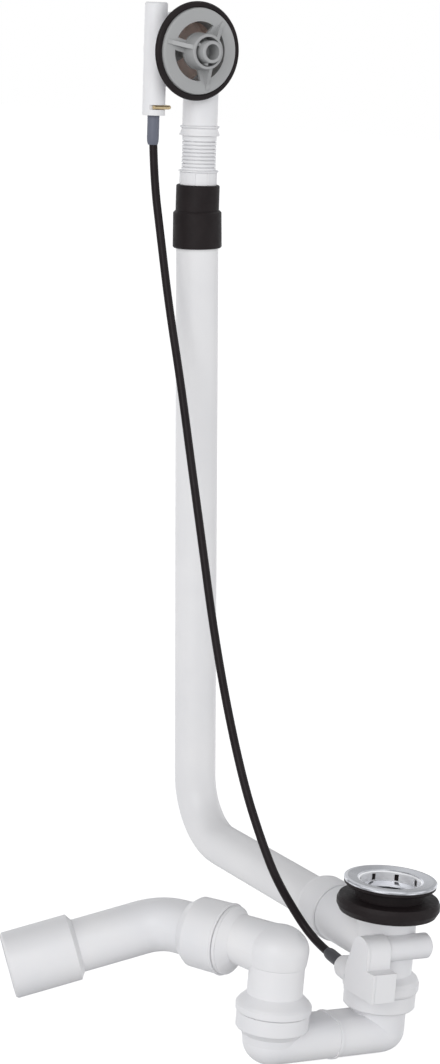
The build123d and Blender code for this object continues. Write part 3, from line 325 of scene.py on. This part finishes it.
# Finish of each of the record's slots
SLOT_MATERIALS = {
    "white_plastic": white_plastic("white_plastic"),
    "black_rubber": rubber(
        "black_rubber", tones=((0.012, 0.0083, 0.009), (0.017, 0.0123, 0.013)), gloss=(0.46, 0.6)
    ),
    "grey_plastic": moulded_plastic(
        "grey_plastic", tones=((0.365, 0.37, 0.372), (0.405, 0.408, 0.408)), gloss=(0.44, 0.54)
    ),
    "blue_grey_plastic": moulded_plastic(
        "blue_grey_plastic", tones=((0.115, 0.125, 0.165), (0.14, 0.15, 0.195)), gloss=(0.42, 0.52)
    ),
    "inner_plastic": moulded_plastic(
        "inner_plastic", tones=((0.20, 0.15, 0.135), (0.25, 0.19, 0.17)), gloss=(0.4, 0.5)
    ),
    "steel": metal(
        "steel",
        tones=((0.52, 0.52, 0.51), (0.62, 0.62, 0.61)),
        gloss=(0.22, 0.34),
        grain=900.0,
        depth=0.00001,
    ),
    "cable_sheath": rubber(
        "cable_sheath", tones=((0.009, 0.005, 0.0065), (0.014, 0.0095, 0.011)), gloss=(0.34, 0.44)
    ),
    "chrome": chrome_with_painted_seat_reflection(),
    "brass": metal(
        "brass",
        tones=((0.70, 0.55, 0.32), (0.80, 0.65, 0.40)),
        gloss=(0.24, 0.36),
        grain=1200.0,
        depth=0.000004,
        edge=0.0002,
    ),
}

# Nodes with a finish of their own
OWN_MATERIALS = {
    "overflow_pipe": drawn_pipe(
        "white_pipe", tones=((0.775, 0.772, 0.785), (0.815, 0.81, 0.818)), gloss=(0.30, 0.40)
    ),
    "overflow_body": lined_overflow(),
    "cable_end_bottom": moulded_plastic(
        "dark_sleeve", tones=((0.046, 0.046, 0.054), (0.06, 0.06, 0.068)), gloss=(0.42, 0.52)
    ),
}


def dress_nodes():
    """Each carried-over node gets its own finish, or else its slot's."""
    for subpart in frame["record"]["subparts"]:
        node = nodes[subpart["node"]]
        own = OWN_MATERIALS.get(subpart["node"])
        node.data.materials.clear()
        node.data.materials.append(own or SLOT_MATERIALS[subpart["material_slot"]])


# Cable

def smooth_tube(name, route, radius, material):
    """A round tube along a smooth spline that has the route as its control points."""
    curve = bpy.data.curves.new(name, "CURVE")
    curve.dimensions = "3D"
    spline = curve.splines.new("NURBS")
    spline.points.add(len(route) - 1)
    for point, place in zip(spline.points, route):
        point.co = (*place, 1.0)
    spline.order_u = 3
    spline.use_endpoint_u = True
    spline.resolution_u = 14
    curve.bevel_depth = radius
    curve.bevel_resolution = 6
    curve.use_fill_caps = True
    curve.materials.append(material)
    tube = bpy.data.objects.new(name, curve)
    bpy.context.scene.collection.objects.link(tube)
    return tube


def lay_cable():
    """The sheath and its inner wire, held at both ends by the set."""
    sheath = smooth_tube("cable_sheath", CABLE_ROUTE, SHEATH_R, SLOT_MATERIALS["cable_sheath"])
    wire_route = [WIRE_TOP] + CABLE_ROUTE[1:-1] + [WIRE_FOOT]
    wire = smooth_tube("inner_wire", wire_route, WIRE_R, SLOT_MATERIALS["steel"])
    for tube, node, slot in ((sheath, "cable", "cable_sheath"), (wire, "cable_wire", "steel")):
        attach(tube, "set")
        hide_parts(node)


# Studio

def add_floor():
    """A plain pale floor just under the part, seen by the camera, with no light of its own on the part."""
    level = cad_low.z - FLOOR_GAP
    corners = []
    for k in range(FLOOR_SIDES):
        turn = 2 * math.pi * k / FLOOR_SIDES
        corners.append((FLOOR_RADIUS * math.cos(turn), FLOOR_RADIUS * math.sin(turn), level))
    mesh = bpy.data.meshes.new("floor")
    mesh.from_pydata(corners, [], [list(range(FLOOR_SIDES))])
    floor = bpy.data.objects.new("floor", mesh)
    bpy.context.scene.collection.objects.link(floor)
    material, _, shader = new_material("pale_floor")
    shader.inputs["Base Color"].default_value = (*FLOOR_TONE, 1.0)
    shader.inputs["Roughness"].default_value = 1.0
    shader.inputs["Specular IOR Level"].default_value = 0.0
    shader.inputs["Emission Color"].default_value = (*WHITE, 1.0)
    shader.inputs["Emission Strength"].default_value = FLOOR_GLOW
    mesh.materials.append(material)
    floor.visible_diffuse = False
    floor.visible_glossy = False


def outward(azimuth, elevation):
    """Unit vector from the part towards an azimuth and an elevation in degrees."""
    a = math.radians(azimuth)
    e = math.radians(elevation)
    return Vector((math.sin(a) * math.cos(e), -math.cos(a) * math.cos(e), math.sin(e)))


def add_softbox(name, azimuth, elevation, distance, size, power):
    """A square soft light that faces the middle of the part."""
    back = outward(azimuth, elevation)
    lamp = bpy.data.lights.new(name, "AREA")
    lamp.shape = "SQUARE"
    lamp.size = size
    lamp.energy = power
    box = bpy.data.objects.new(name, lamp)
    bpy.context.scene.collection.objects.link(box)
    box.location = (cad_low + cad_high) / 2 + back * distance
    box.rotation_mode = "QUATERNION"
    box.rotation_quaternion = (-back).to_track_quat("-Z", "Y")


def add_camera():
    """A camera at the photograph's viewing angle."""
    back = outward(CAMERA_AZIMUTH, CAMERA_ELEVATION)
    lens = bpy.data.cameras.new("camera")
    lens.lens = CAMERA_LENS
    lens.sensor_width = CAMERA_SENSOR
    lens.clip_start = CAMERA_CLIP_START
    lens.clip_end = CAMERA_CLIP_END
    camera = bpy.data.objects.new("camera", lens)
    bpy.context.scene.collection.objects.link(camera)
    camera.location = CAMERA_TARGET + back * CAMERA_DISTANCE
    camera.rotation_mode = "QUATERNION"
    roll = Quaternion((0.0, 0.0, 1.0), math.radians(CAMERA_ROLL))
    camera.rotation_quaternion = (-back).to_track_quat("-Z", "Y") @ roll
    bpy.context.scene.camera = camera


# Surround

def background(tree, colour, strength=None):
    """A background of one tint, its strength 1 or another node's output."""
    node = tree.nodes.new("ShaderNodeBackground")
    node.inputs["Color"].default_value = (*colour, 1.0)
    if strength is not None:
        tree.links.new(strength, node.inputs["Strength"])
    return node.outputs["Background"]


def horizon_light(tree, direction):
    """Light that is brightest at the horizon and falls off above and below it."""
    split = tree.nodes.new("ShaderNodeSeparateXYZ")
    tree.links.new(direction, split.inputs["Vector"])
    square = number_math(tree, "POWER", split.outputs["Z"], 2.0)
    level = number_math(tree, "SUBTRACT", 1.0, square)
    band = number_math(tree, "POWER", level, HORIZON_FALL)
    strength = map_range(tree, band, (0.0, 1.0), (ZENITH_GLOW, HORIZON_GLOW))
    return background(tree, AMBIENT_TINT, strength)


def mirrored_bands(tree, direction):
    """Upright bright and dim bands, as a studio's panels show in chrome."""
    flat = tree.nodes.new("ShaderNodeMapping")
    flat.inputs["Scale"].default_value = MIRROR_FLATTEN
    flat.inputs["Location"].default_value = MIRROR_SHIFT
    bands = tree.nodes.new("ShaderNodeTexNoise")
    bands.inputs["Scale"].default_value = MIRROR_BANDS
    bands.inputs["Detail"].default_value = 1.0
    tree.links.new(direction, flat.inputs["Vector"])
    tree.links.new(flat.outputs["Vector"], bands.inputs["Vector"])
    strength = map_range(tree, bands.outputs["Fac"], MIRROR_SPAN, (MIRROR_LOW, MIRROR_HIGH))
    return background(tree, MIRROR_TINT, strength)


def mix_shaders(tree, factor, first, second):
    """The first shader where the factor is 0 and the second where it is 1."""
    mix = tree.nodes.new("ShaderNodeMixShader")
    for socket, source in zip(mix.inputs, (factor, first, second)):
        tree.links.new(source, socket)
    return mix.outputs["Shader"]


def set_world():
    """White for the camera, bands for glossy surfaces, and horizon light for the rest."""
    world = bpy.data.worlds.new("studio")
    bpy.context.scene.world = world
    world.use_nodes = True
    tree = world.node_tree
    tree.nodes.clear()
    direction = tree.nodes.new("ShaderNodeTexCoord").outputs["Generated"]
    rays = tree.nodes.new("ShaderNodeLightPath").outputs
    lighting = mix_shaders(
        tree, rays["Is Glossy Ray"], horizon_light(tree, direction), mirrored_bands(tree, direction)
    )
    surround = mix_shaders(tree, rays["Is Camera Ray"], lighting, background(tree, WHITE))
    output = tree.nodes.new("ShaderNodeOutputWorld")
    tree.links.new(surround, output.inputs["Surface"])


dress_nodes()
lay_cable()
add_floor()
add_softbox("key_light", azimuth=-50.0, elevation=22.0, distance=2.4, size=1.5, power=16.0)
set_world()
add_camera()
bpy.context.scene.view_settings.view_transform = "Standard"
